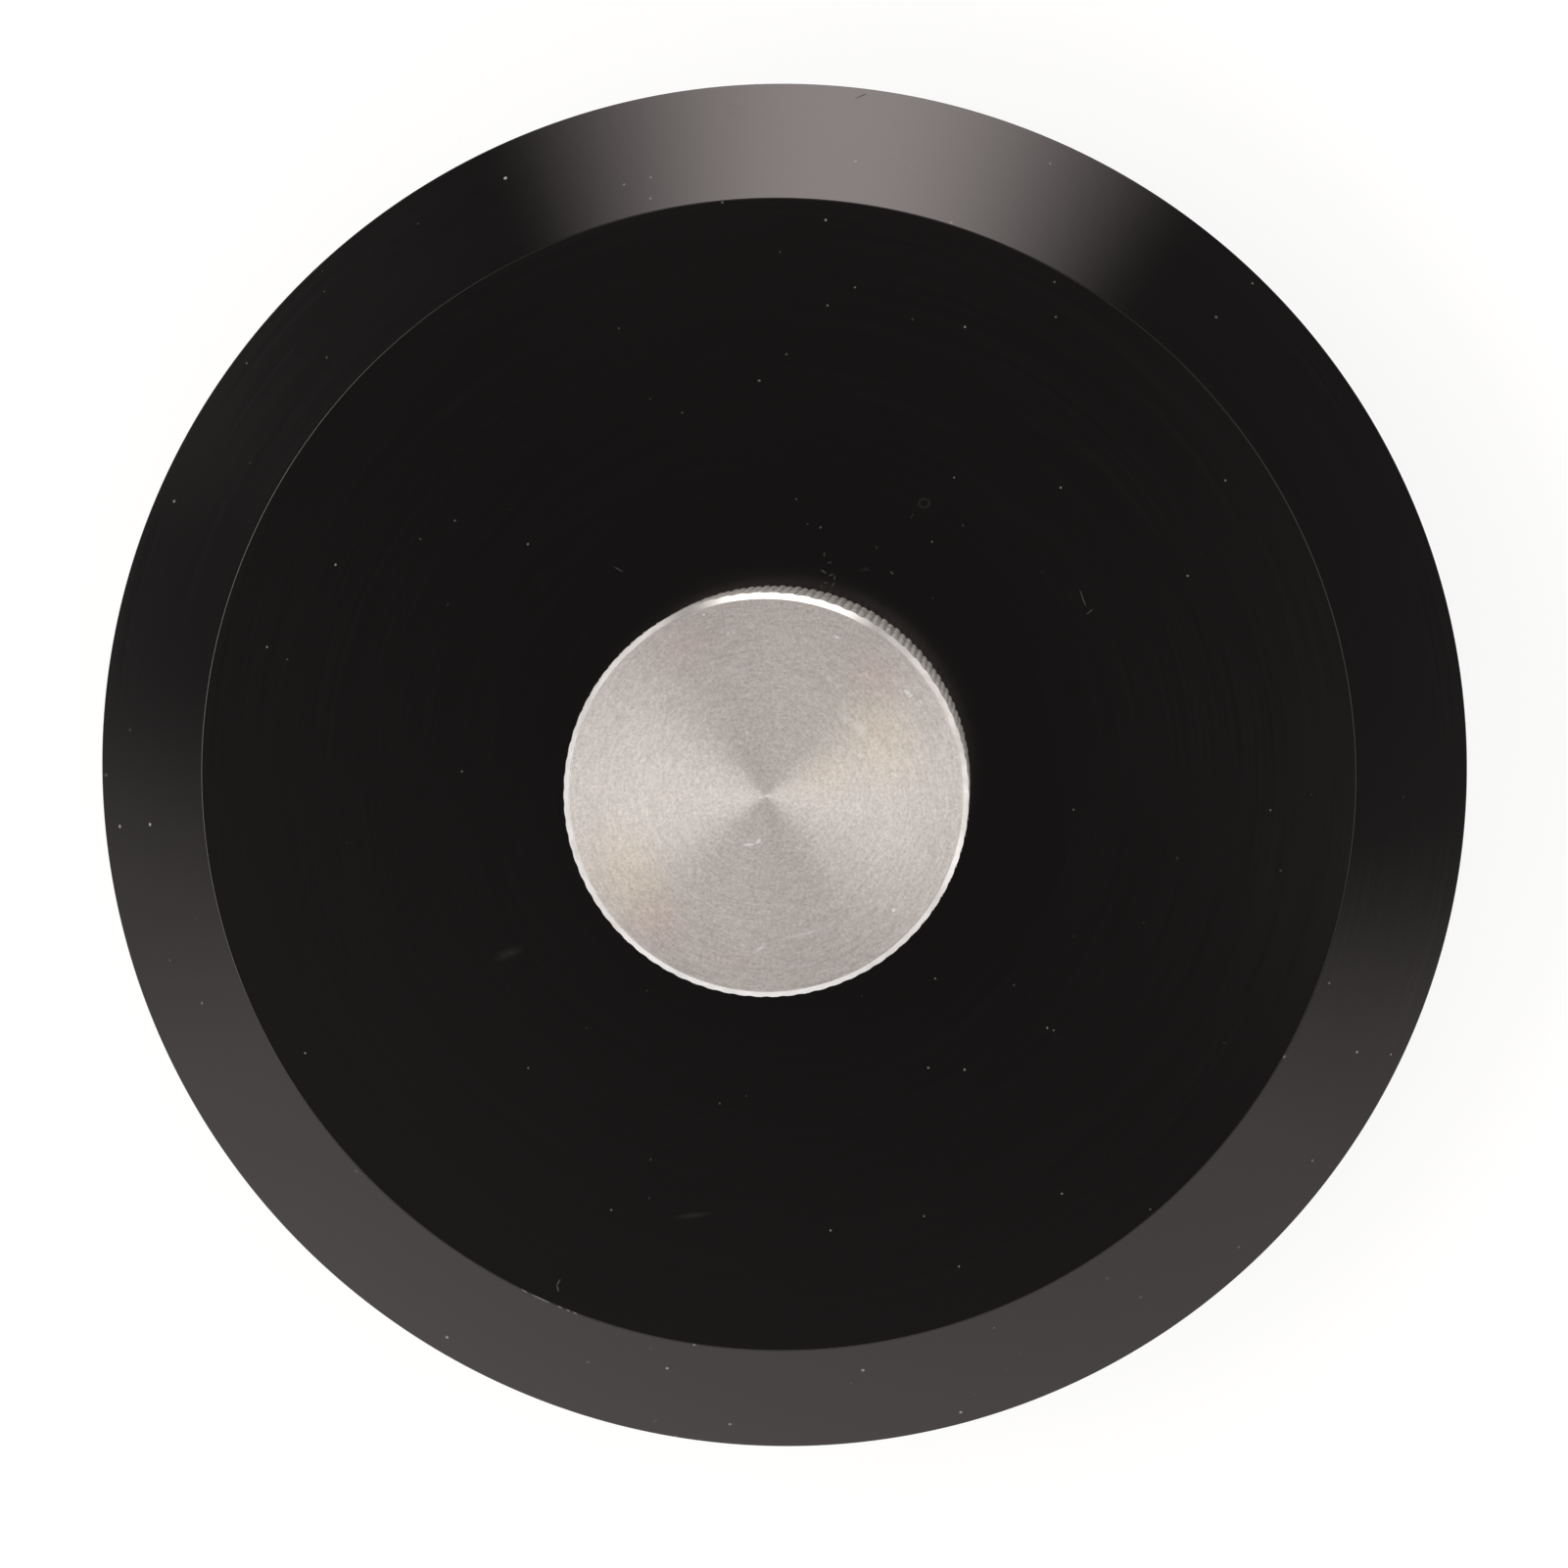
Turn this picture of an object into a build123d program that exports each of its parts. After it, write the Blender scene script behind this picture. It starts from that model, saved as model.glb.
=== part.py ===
from build123d import *
from math import cos, pi, radians, sin, tan
import os

# Record weight: it stands on a record's label, with the turntable's spindle in its bore, and presses
# the record flat. A black anodised disc with a wide bevel carries a bright knurled knob to lift it by,
# and a rubber ring under it keeps the metal off the label.
# Sizes are in millimetres. +Z points up the spindle's axis, and the origin is the middle of the plane
# that the weight rests on.

# Disc, turned from one bar
BODY_DIAMETER = 82.0
BODY_HEIGHT = 24.0
BEVEL_WIDTH = 7.0
BEVEL_DROP = 5.4
EDGE_BREAK = 0.04
BOTTOM_CHAMFER = 0.8

# Spindle bore, open at the underside
SPINDLE_DIAMETER = 7.2
SPINDLE_CLEARANCE = 0.05
BORE_LEAD_IN = 1.0

# Rubber ring, set into a groove in the underside between an outer rim and a hub round the bore
PAD_THICKNESS = 2.0
PAD_STAND_PROUD = 0.8
PAD_CLEARANCE = 0.2
RIM_WIDTH = 4.5
HUB_DIAMETER = 30.0

# Knob, turned and knurled in one piece with the spigot that screws into the disc
KNOB_DIAMETER = 22.9
KNOB_HEIGHT = 11.3
KNOB_CHAMFER = 0.35
SPIGOT_DIAMETER = 10.0
SPIGOT_LENGTH = 6.0
SPIGOT_CHAMFER = 0.8
SPIGOT_CLEARANCE = 0.1
SPIGOT_END_GAP = 0.5
UNDERCUT_WIDTH = 1.2
UNDERCUT_DEPTH = 0.8
TAPPED_HOLE_COUNTERSINK = 0.6

# Diamond knurl: the pitch is square to the grooves, and the angle is between a groove and the axis.
# The grooves run out towards the chamfer, so that they only just notch its edge.
KNURL_PITCH = 0.8
KNURL_ANGLE = 30.0
KNURL_DEPTH = 0.22
KNURL_DEPTH_AT_CHAMFER = 0.05

# Places worked out from the sizes above
body_radius = BODY_DIAMETER / 2
underside = PAD_STAND_PROUD
body_top = underside + BODY_HEIGHT
bore_radius = SPINDLE_DIAMETER / 2 + SPINDLE_CLEARANCE
groove_outer_radius = body_radius - RIM_WIDTH
groove_inner_radius = HUB_DIAMETER / 2
knob_radius = KNOB_DIAMETER / 2
spigot_radius = SPIGOT_DIAMETER / 2
tapped_hole_radius = spigot_radius + SPIGOT_CLEARANCE
tapped_hole_floor = body_top - SPIGOT_LENGTH - SPIGOT_END_GAP


def turned(*outline):
    """Revolve a closed outline of (radius, height) points about the spindle's axis."""
    profile = make_face(Plane.XZ * Polyline(*outline, close=True))
    return revolve(profile, Axis.Z)


def cut_corner(before, corner, after, size):
    """Return the two points that take a sharp corner off an outline, each one size away from it."""
    middle = Vector(*corner)
    first = middle + (Vector(*before) - middle).normalized() * size
    second = middle + (Vector(*after) - middle).normalized() * size
    return (first.X, first.Y), (second.X, second.Y)


def weight_body():
    """Make the disc: a bevelled blank with the pad's groove, the spindle bore and the tapped hole."""
    bottom_corner = (body_radius, underside)
    bevel_foot = (body_radius, body_top - BEVEL_DROP)
    bevel_head = (body_radius - BEVEL_WIDTH, body_top)
    bottom_centre = (0, underside)
    top_centre = (0, body_top)
    blank = turned(
        bottom_centre,
        *cut_corner(bottom_centre, bottom_corner, bevel_foot, BOTTOM_CHAMFER),
        *cut_corner(bottom_corner, bevel_foot, bevel_head, EDGE_BREAK),
        *cut_corner(bevel_foot, bevel_head, top_centre, EDGE_BREAK),
        top_centre,
    )
    groove = turned(
        (groove_inner_radius, underside),
        (groove_outer_radius, underside),
        (groove_outer_radius, PAD_THICKNESS),
        (groove_inner_radius, PAD_THICKNESS),
    )
    bore = turned(
        (0, underside),
        (bore_radius + BORE_LEAD_IN, underside),
        (bore_radius, underside + BORE_LEAD_IN),
        (bore_radius, tapped_hole_floor),
        (0, tapped_hole_floor),
    )
    tapped_hole = turned(
        (0, tapped_hole_floor),
        (tapped_hole_radius, tapped_hole_floor),
        (tapped_hole_radius, body_top - TAPPED_HOLE_COUNTERSINK),
        (tapped_hole_radius + TAPPED_HOLE_COUNTERSINK, body_top),
        (0, body_top),
    )
    return blank - groove - bore - tapped_hole


def underside_pad():
    """Make the flat rubber ring, which lies against the groove's floor and stands proud of the metal."""
    outer_radius = groove_outer_radius - PAD_CLEARANCE
    hole_radius = groove_inner_radius + PAD_CLEARANCE
    return turned(
        (hole_radius, 0),
        (outer_radius, 0),
        (outer_radius, PAD_THICKNESS),
        (hole_radius, PAD_THICKNESS),
    )


def knurled_head():
    """Make the knob's head: a bar with a diamond knurl all round and a 45 degree chamfer on top.

    Two families of V grooves, one of each hand, leave staggered four-sided pyramids. Each corner of
    the pattern is either a pyramid's crest or the crossing of two grooves, and between four corners
    lie two flat flanks that meet along a groove. The pattern stands in columns round the bar and rows
    along it, from the edge of the knob's seat to the outer edge of the chamfer.
    """
    teeth = round(pi * KNOB_DIAMETER * cos(radians(KNURL_ANGLE)) / KNURL_PITCH)
    columns = 2 * teeth
    column_width = pi * KNOB_DIAMETER / columns
    side_height = KNOB_HEIGHT - KNOB_CHAMFER
    rows = round(side_height * tan(radians(KNURL_ANGLE)) / column_width)
    row_height = side_height / rows
    rim_radius = knob_radius - KNOB_CHAMFER

    def on_column(column, radius, height):
        """Return the point of a column at a radius, a height above the knob's seat."""
        turn = 2 * pi * (column % columns) / columns
        return Vector(radius * cos(turn), radius * sin(turn), body_top + height)

    def corner(column, row):
        """Return one corner of the pattern; even ones are crests and odd ones are crossings.

        The corners of the last row lie on the chamfer's cone.
        """
        is_crossing = (column + row) % 2
        if row < rows:
            return on_column(column, knob_radius - KNURL_DEPTH * is_crossing, row * row_height)
        radius = knob_radius - KNURL_DEPTH_AT_CHAMFER * is_crossing
        return on_column(column, radius, KNOB_HEIGHT + rim_radius - radius)

    def flanks(column, row):
        """Return the two flat flanks between four corners of the pattern."""
        near, far = corner(column, row), corner(column + 1, row + 1)
        right, left = corner(column + 1, row), corner(column, row + 1)
        if (column + row) % 2 == 0:
            return [(near, right, left), (far, left, right)]
        return [(right, far, near), (left, near, far)]

    facets = []
    for column in range(columns):
        for row in range(rows):
            facets += flanks(column, row)
    rim = [on_column(column, rim_radius, KNOB_HEIGHT) for column in range(columns)]
    for column in range(columns):
        following = (column + 1) % columns
        chamfer = (corner(column, rows), corner(following, rows), rim[following], rim[column])
        facets.append(chamfer)
    seat = [corner(column, 0) for column in range(columns)]
    return Solid(Shell([Face(Wire.make_polygon(points)) for points in [*facets, rim, seat]]))


def grip_knob():
    """Make the knob: the knurled head, and below its flat seat the spigot with a thread undercut."""
    undercut_radius = spigot_radius - UNDERCUT_DEPTH
    spigot_end = body_top - SPIGOT_LENGTH
    spigot = turned(
        (0, body_top),
        (undercut_radius, body_top),
        (undercut_radius, body_top - UNDERCUT_WIDTH),
        (spigot_radius, body_top - UNDERCUT_WIDTH - UNDERCUT_DEPTH),
        (spigot_radius, spigot_end + SPIGOT_CHAMFER),
        (spigot_radius - SPIGOT_CHAMFER, spigot_end),
        (0, spigot_end),
    )
    return knurled_head() + spigot


os.makedirs("parts", exist_ok=True)
for name, make_piece in {
    "weight_body": weight_body,
    "underside_pad": underside_pad,
    "grip_knob": grip_knob,
}.items():
    piece = make_piece()
    piece.label = name
    export_step(piece, f"parts/{name}.step")
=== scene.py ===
"""Looks of a record weight: a black anodised disc, a bright knurled knob and a rubber ring.

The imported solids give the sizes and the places. Each class below turns one piece as a lathe would, in
millimetres, and dresses it with a finish. The studio is a white light table in a room of soft cards.
"""

import logging
import math
from dataclasses import dataclass, field
from enum import Enum, IntEnum
from typing import Sequence

import bmesh
import bpy
from mathutils import Matrix, Vector


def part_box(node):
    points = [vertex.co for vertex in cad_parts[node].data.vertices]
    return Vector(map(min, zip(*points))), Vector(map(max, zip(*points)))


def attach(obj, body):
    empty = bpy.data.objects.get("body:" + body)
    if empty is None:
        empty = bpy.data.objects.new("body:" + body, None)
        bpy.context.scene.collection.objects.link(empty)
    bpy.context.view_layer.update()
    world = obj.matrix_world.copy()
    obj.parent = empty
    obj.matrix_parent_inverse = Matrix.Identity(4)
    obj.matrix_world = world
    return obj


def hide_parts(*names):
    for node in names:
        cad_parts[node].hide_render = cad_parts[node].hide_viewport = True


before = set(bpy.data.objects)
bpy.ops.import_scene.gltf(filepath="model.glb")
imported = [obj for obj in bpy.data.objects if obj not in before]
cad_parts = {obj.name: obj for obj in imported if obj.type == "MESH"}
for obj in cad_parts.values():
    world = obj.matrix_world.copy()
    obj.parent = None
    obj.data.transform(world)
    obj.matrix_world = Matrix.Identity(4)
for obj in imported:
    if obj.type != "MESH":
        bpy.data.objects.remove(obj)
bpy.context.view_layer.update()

MM = 0.001
BODY = "root"
DISC_NODE = "weight_body"
LATHE_STEPS = 360
MERGE_DISTANCE = 1e-7
SAME_RING_MM = 0.001
SHARP_ANGLE = math.radians(25)
# The Weighted Normal modifier's strongest weight, with which the large faces set the normals
LARGE_FACES_RULE = 100

# Long enough that a mark shows alike at every height of a piece
MARK_REACH = 1000.0
# How much each finer octave of a noise counts
NOISE_ROUGHNESS = 0.6
# A quarter turn of the shine, from along the tool marks to across them
ACROSS_TOOL_MARKS = 0.25

# Sockets of Blender's Mix node when it mixes colours
MIX_A = 6
MIX_B = 7
MIX_RESULT = 2

Outline = Sequence[tuple[float, float]]


class Slot(Enum):
    """The record's material slots."""

    DISC = "black_anodised"
    KNOB = "bright_turned"
    PAD = "black_rubber"


class Look(Enum):
    """How a mark fades into the surface round it: from where, and to where it is full.

    Both are shares of the mark's half size, counted from its middle, or for a ring from its line.
    """

    SPOT = (1.0, 0.55)
    RING = (0.35, 0.1)
    SOFT = (1.0, 0.0)


def linear(colour: str) -> tuple[float, float, float, float]:
    """Turn an sRGB hex colour into linear light.

    Args:
        colour: Six hex digits after a hash sign.

    Returns:
        Red, green, blue and an alpha of one.
    """
    shares = [int(colour[start:start + 2], 16) / 255 for start in (1, 3, 5)]
    red, green, blue = (
        share / 12.92 if share <= 0.04045 else ((share + 0.055) / 1.055) ** 2.4 for share in shares
    )
    return red, green, blue, 1.0


def feed(tree: bpy.types.NodeTree, node: bpy.types.Node, inputs: dict) -> None:
    """Set or link a node's inputs.

    Args:
        tree: The node tree that holds the node.
        node: The node.
        inputs: Values or output sockets for its inputs, by name or number.
    """
    for socket, value in inputs.items():
        if isinstance(value, bpy.types.NodeSocket):
            tree.links.new(value, node.inputs[socket])
        else:
            node.inputs[socket].default_value = value


def add_node(tree: bpy.types.NodeTree, kind: str, inputs: dict | None = None, **settings) -> bpy.types.Node:
    """Add a node with its settings and links.

    Args:
        tree: The node tree that gets the node.
        kind: The node's type name.
        inputs: Values or output sockets for its inputs, by name or number.
        settings: Properties of the node.

    Returns:
        The new node.
    """
    node = tree.nodes.new(kind)
    for name, value in settings.items():
        setattr(node, name, value)
    feed(tree, node, inputs or {})
    return node


@dataclass(frozen=True)
class Mark:
    """A scuff, scratch or speck on a turned face, in millimetres from the axis as seen from above."""

    x: float
    y: float
    length: float
    width: float
    turn: float = 0.0
    strength: float = 1.0
    look: Look = Look.SPOT

    def mask(self, tree: bpy.types.NodeTree, point: bpy.types.NodeSocket) -> bpy.types.NodeSocket:
        """Make a mask that is at the mark's strength on it and zero elsewhere.

        Args:
            tree: The material's node tree.
            point: Object coordinates in millimetres.

        Returns:
            The mask's socket.
        """
        own = add_node(
            tree,
            "ShaderNodeMapping",
            {
                "Vector": point,
                "Location": (self.x, self.y, 0),
                "Rotation": (0, 0, math.radians(self.turn)),
                "Scale": (self.length / 2, self.width / 2, MARK_REACH),
            },
            vector_type="TEXTURE",
        )
        away = add_node(tree, "ShaderNodeVectorMath", {0: own.outputs[0]}, operation="LENGTH")
        distance = away.outputs["Value"]
        if self.look is Look.RING:
            distance = add_node(
                tree, "ShaderNodeMath", {0: distance, 1: 1.0}, operation="SUBTRACT"
            ).outputs[0]
            distance = add_node(tree, "ShaderNodeMath", {0: distance}, operation="ABSOLUTE").outputs[0]
        fade_from, fade_to = self.look.value
        return add_node(
            tree,
            "ShaderNodeMapRange",
            {
                "Value": distance,
                "From Min": fade_from,
                "From Max": fade_to,
                "To Max": self.strength,
            },
            interpolation_type="SMOOTHSTEP",
        ).outputs[0]


def all_marks(
    tree: bpy.types.NodeTree, point: bpy.types.NodeSocket, marks: Sequence[Mark]
) -> bpy.types.NodeSocket:
    """Join the masks of several marks.

    Args:
        tree: The material's node tree.
        point: Object coordinates in millimetres.
        marks: The marks to join.

    Returns:
        The strongest of their masks at each point.
    """
    joined, *others = [mark.mask(tree, point) for mark in marks]
    for mask in others:
        joined = add_node(tree, "ShaderNodeMath", {0: joined, 1: mask}, operation="MAXIMUM").outputs[0]
    return joined


class LatheCoordinates:
    """Sockets that follow a turned surface round the spindle's axis, in millimetres."""

    def __init__(self, tree: bpy.types.NodeTree) -> None:
        """Add the nodes that work out the point, its radius and the cut's direction.

        Args:
            tree: The material's node tree.
        """
        self.tree = tree
        coordinates = add_node(tree, "ShaderNodeTexCoord")
        self.point = add_node(
            tree,
            "ShaderNodeVectorMath",
            {0: coordinates.outputs["Object"], "Scale": 1 / MM},
            operation="SCALE",
        ).outputs[0]
        parts = add_node(tree, "ShaderNodeSeparateXYZ", {0: self.point})
        flat = add_node(tree, "ShaderNodeCombineXYZ", {0: parts.outputs[0], 1: parts.outputs[1]}).outputs[0]
        length = add_node(tree, "ShaderNodeVectorMath", {0: flat}, operation="LENGTH")
        self.radius = length.outputs["Value"]
        self.height = parts.outputs[2]
        self.outward = add_node(tree, "ShaderNodeVectorMath", {0: flat}, operation="NORMALIZE").outputs[0]
        self.around = add_node(
            tree,
            "ShaderNodeVectorMath",
            {0: (0, 0, 1), 1: self.outward},
            operation="CROSS_PRODUCT",
        ).outputs[0]

    def lines(self, spacing: float, arcs: float, detail: float) -> bpy.types.NodeSocket:
        """Make the tool marks that run round the piece.

        Args:
            spacing: Distance from one tool mark to the next in millimetres.
            arcs: How often a mark changes on its way round.
            detail: Octaves of finer marks.

        Returns:
            A value from zero to one.
        """
        along = add_node(
            self.tree, "ShaderNodeMath", {0: self.radius, 1: self.height}, operation="SUBTRACT"
        ).outputs[0]
        step = add_node(
            self.tree, "ShaderNodeMath", {0: along, 1: spacing}, operation="DIVIDE"
        ).outputs[0]
        lengthwise = add_node(
            self.tree, "ShaderNodeVectorMath", {0: self.outward, "Scale": arcs}, operation="SCALE"
        ).outputs[0]
        crosswise = add_node(self.tree, "ShaderNodeCombineXYZ", {2: step}).outputs[0]
        vector = add_node(
            self.tree, "ShaderNodeVectorMath", {0: lengthwise, 1: crosswise}, operation="ADD"
        ).outputs[0]
        return add_node(
            self.tree,
            "ShaderNodeTexNoise",
            {"Vector": vector, "Scale": 1.0, "Detail": detail, "Roughness": NOISE_ROUGHNESS},
        ).outputs[0]


def new_material(name: str) -> tuple[bpy.types.Material, bpy.types.Node]:
    """Make a material that holds a Principled shader and its output.

    Args:
        name: The material's name.

    Returns:
        The material and its shader node.
    """
    material = bpy.data.materials.new(name)
    material.use_nodes = True
    material.node_tree.nodes.clear()
    shader = add_node(material.node_tree, "ShaderNodeBsdfPrincipled")
    add_node(material.node_tree, "ShaderNodeOutputMaterial", {"Surface": shader.outputs[0]})
    return material, shader


def remap(
    tree: bpy.types.NodeTree, value: bpy.types.NodeSocket, low: float, high: float
) -> bpy.types.NodeSocket:
    """Stretch the middle of a noise, where most of it lies, from low to high.

    Args:
        tree: The material's node tree.
        value: The noise.
        low: What its low values become.
        high: What its high values become.

    Returns:
        The stretched value.
    """
    usual_low, usual_high = 0.3, 0.7
    limits = {
        "Value": value,
        "From Min": usual_low,
        "From Max": usual_high,
        "To Min": low,
        "To Max": high,
    }
    return add_node(tree, "ShaderNodeMapRange", limits).outputs[0]


@dataclass(frozen=True)
class BlackAnodised:
    """Turned aluminium under a dyed black oxide layer.

    The dye takes nearly all the light that enters, so what the eye sees is the clear layer's gloss,
    drawn out a little across the fine tool marks, with dust, a few handling marks and a painted highlight
    along part of the bevel's inner edge on it.
    """

    name: str = "black_anodised_turned_aluminium"
    dye: str = "#070606"
    # Also the colour of the painted highlight dashes on the bevel's inner edge
    dust_and_highlight_colour: str = "#cfcac4"
    scuff_colour: str = "#4a4643"
    oxide_tint: str = "#fff6f9"
    oxide_ior: float = 1.65
    # From the smoothest to the roughest tool mark
    roughness: tuple[float, float] = (0.117, 0.1456)
    spoilt_roughness: float = 0.8
    anisotropy: float = 0.3
    # The real feed is about 0.08 mm a turn, drawn three times as coarse so that it shows
    tool_mark_spacing: float = 0.25
    tool_mark_depth: float = 0.0002
    speck_spacing: float = 1.95
    speck_radius: float = 0.08
    speck_strength: float = 0.4
    # The share of its radius within which a speck is full
    speck_core: float = 0.6
    # The power that leaves few specks bright, while most only just show
    speck_contrast: float = 2.0
    # Coarser dust has slid to the bevel
    bevel_from: float = 34.0
    bevel_speck_radius: float = 0.12
    bevel_speck_strength: float = 0.8
    # Which stretch of the endless speck pattern lies on the disc
    speck_shift: tuple[float, float, float] = (31.7, 12.9, 7.3)
    scuffs: tuple[Mark, ...] = (
        Mark(2.89, 13.26, 0.3, 0.1, 80, 0.4),
        Mark(3.21, 12.78, 0.35, 0.09, 12, 0.35),
        Mark(2.85, 12.26, 0.45, 0.11, -32, 0.6),
        Mark(3.29, 12.06, 0.4, 0.1, 25, 0.5),
        Mark(3.49, 11.89, 0.35, 0.1, 82, 0.4),
        Mark(2.73, 11.4, 0.35, 0.1, 105, 0.4),
        Mark(2.95, 11.6, 0.3, 0.1, 5, 0.4),
        Mark(3.4, 11.5, 0.4, 0.09, 50, 0.45),
        Mark(5.96, 13.67, 0.35, 0.08, 88, 0.25),
        Mark(5.27, 12.38, 0.9, 0.4, 10, 0.12, Look.SOFT),
        Mark(6.85, 12.18, 0.3, 0.12, -48, 0.5),
        Mark(8.02, 15.5, 0.5, 0.1, 55, 0.15),
        Mark(8.74, 16.25, 0.6, 0.5, 0, 0.1, Look.RING),
        Mark(-9.2, 12.4, 0.8, 0.1, 150, 0.3),
        Mark(18.0, 10.7, 1.3, 0.07, 110, 0.5),
        Mark(18.4, 9.9, 0.6, 0.07, 40, 0.4),
        Mark(-12.97, -29.97, 0.48, 0.1, 59, 0.8),
        Mark(-13.02, -30.33, 0.52, 0.1, 104, 0.7),
        Mark(-15.8, -10.3, 2.6, 0.9, 20, 0.1, Look.SOFT),
        Mark(-5.0, -25.9, 3.0, 0.5, 8, 0.12, Look.SOFT),
        Mark(-2.6, 39.35, 0.95, 0.62, 0, 0.14, Look.RING),
        Mark(4.9, 40.2, 1.0, 0.12, 25, 0.5),
    )
    specks_and_edge_highlight: tuple[Mark, ...] = (
        Mark(3.0, 32.7, 0.2, 0.16),
        Mark(4.7, 28.8, 0.14, 0.12, 0, 0.7),
        Mark(-0.9, 23.4, 0.22, 0.16, 0, 0.5),
        Mark(9.2, 14.0, 0.14, 0.12, 0, 0.6),
        Mark(11.0, 14.96, 0.14, 0.12, 0, 0.2),
        Mark(1.92, 15.04, 0.16, 0.12, 0, 0.2),
        Mark(1.26, 16.5, 0.16, 0.12, 0, 0.3),
        Mark(24.1, 12.0, 0.2, 0.16, 0, 0.5),
        Mark(29.0, -1.7, 0.14, 0.14, 0, 0.5),
        Mark(17.5, -1.7, 0.14, 0.12, 0, 0.6),
        Mark(16.0, -14.6, 0.14, 0.14, 0, 0.8),
        Mark(9.4, -11.7, 0.16, 0.14, 0, 0.7),
        Mark(9.0, -17.0, 0.18, 0.14, 0, 0.8),
        Mark(-9.8, -25.6, 0.16, 0.12, 0, 0.7),
        # Painted highlight: short light dashes along the bevel's inner edge, where the top meets it
        Mark(-15.0, -30.51, 0.5, 0.09, -26.2, 0.5),
        Mark(-14.0, -30.98, 1.5, 0.09, -24.3, 0.6),
        Mark(-12.9, -31.46, 0.35, 0.09, -22.3, 0.6),
        Mark(-12.4, -31.66, 0.3, 0.09, -21.4, 0.6),
        Mark(-12.0, -31.81, 0.35, 0.09, -20.7, 0.5),
    )

    def build(self) -> bpy.types.Material:
        """Build the material.

        Returns:
            The finished material.
        """
        material, shader = new_material(self.name)
        tree = material.node_tree
        lathe = LatheCoordinates(tree)
        marks = lathe.lines(self.tool_mark_spacing, arcs=2.0, detail=3.0)
        dust_and_edge_highlight = self.dust_and_edge_highlight(tree, lathe)
        scuffed = all_marks(tree, lathe.point, self.scuffs)
        dyed = add_node(
            tree,
            "ShaderNodeMix",
            {0: scuffed, MIX_A: linear(self.dye), MIX_B: linear(self.scuff_colour)},
            data_type="RGBA",
        ).outputs[MIX_RESULT]
        # Dust, and the painted edge highlight, turn the dye towards a light grey
        colour = add_node(
            tree,
            "ShaderNodeMix",
            {0: dust_and_edge_highlight, MIX_A: dyed, MIX_B: linear(self.dust_and_highlight_colour)},
            data_type="RGBA",
        ).outputs[MIX_RESULT]
        even = remap(tree, marks, *self.roughness)
        spoilt = add_node(tree, "ShaderNodeMath", {0: dust_and_edge_highlight, 1: scuffed}, operation="MAXIMUM").outputs[0]
        roughness = add_node(
            tree,
            "ShaderNodeMapRange",
            {"Value": spoilt, "To Min": even, "To Max": self.spoilt_roughness},
        ).outputs[0]
        bump = add_node(
            tree, "ShaderNodeBump", {"Height": marks, "Distance": self.tool_mark_depth * MM}
        ).outputs[0]
        feed(
            tree,
            shader,
            {
                "Base Color": colour,
                "Roughness": roughness,
                "IOR": self.oxide_ior,
                "Specular Tint": linear(self.oxide_tint),
                "Anisotropic": self.anisotropy,
                "Anisotropic Rotation": ACROSS_TOOL_MARKS,
                "Normal": bump,
                "Tangent": lathe.around,
            },
        )
        return material

    def dust_and_edge_highlight(self, tree: bpy.types.NodeTree, lathe: LatheCoordinates) -> bpy.types.NodeSocket:
        """Scatter dust specks over the surface, lay the larger ones where they lie, and paint a highlight
        in short dashes along part of the bevel's inner edge.

        Args:
            tree: The material's node tree.
            lathe: The coordinates.

        Returns:
            A mask that is one on a speck or on a painted highlight dash.
        """
        shifted = add_node(
            tree, "ShaderNodeVectorMath", {0: lathe.point, 1: self.speck_shift}, operation="ADD"
        ).outputs[0]
        cells = add_node(
            tree,
            "ShaderNodeTexVoronoi",
            {"Vector": shifted, "Scale": 1 / self.speck_spacing},
        )
        on_bevel = add_node(
            tree, "ShaderNodeMath", {0: lathe.radius, 1: self.bevel_from}, operation="GREATER_THAN"
        ).outputs[0]
        size, strength = (
            add_node(
                tree, "ShaderNodeMapRange", {"Value": on_bevel, "To Min": on_top, "To Max": lower}
            ).outputs[0]
            for on_top, lower in (
                (self.speck_radius / self.speck_spacing, self.bevel_speck_radius / self.speck_spacing),
                (self.speck_strength, self.bevel_speck_strength),
            )
        )
        core = add_node(
            tree, "ShaderNodeMath", {0: size, 1: self.speck_core}, operation="MULTIPLY"
        ).outputs[0]
        dots = add_node(
            tree,
            "ShaderNodeMapRange",
            {"Value": cells.outputs["Distance"], "From Min": size, "From Max": core},
            interpolation_type="SMOOTHSTEP",
        ).outputs[0]
        chance = add_node(tree, "ShaderNodeSeparateColor", {0: cells.outputs["Color"]}).outputs[0]
        shade = add_node(
            tree, "ShaderNodeMath", {0: chance, 1: self.speck_contrast}, operation="POWER"
        ).outputs[0]
        scattered = add_node(tree, "ShaderNodeMath", {0: dots, 1: shade}, operation="MULTIPLY").outputs[0]
        # The listed specks, and the painted highlight dashes on the bevel's inner edge
        laid_and_edge_highlight = all_marks(tree, lathe.point, self.specks_and_edge_highlight)
        specks_and_edge_highlight = add_node(tree, "ShaderNodeMath", {0: scattered, 1: laid_and_edge_highlight}, operation="MAXIMUM").outputs[0]
        return add_node(tree, "ShaderNodeMath", {0: specks_and_edge_highlight, 1: strength}, operation="MULTIPLY").outputs[0]


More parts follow.
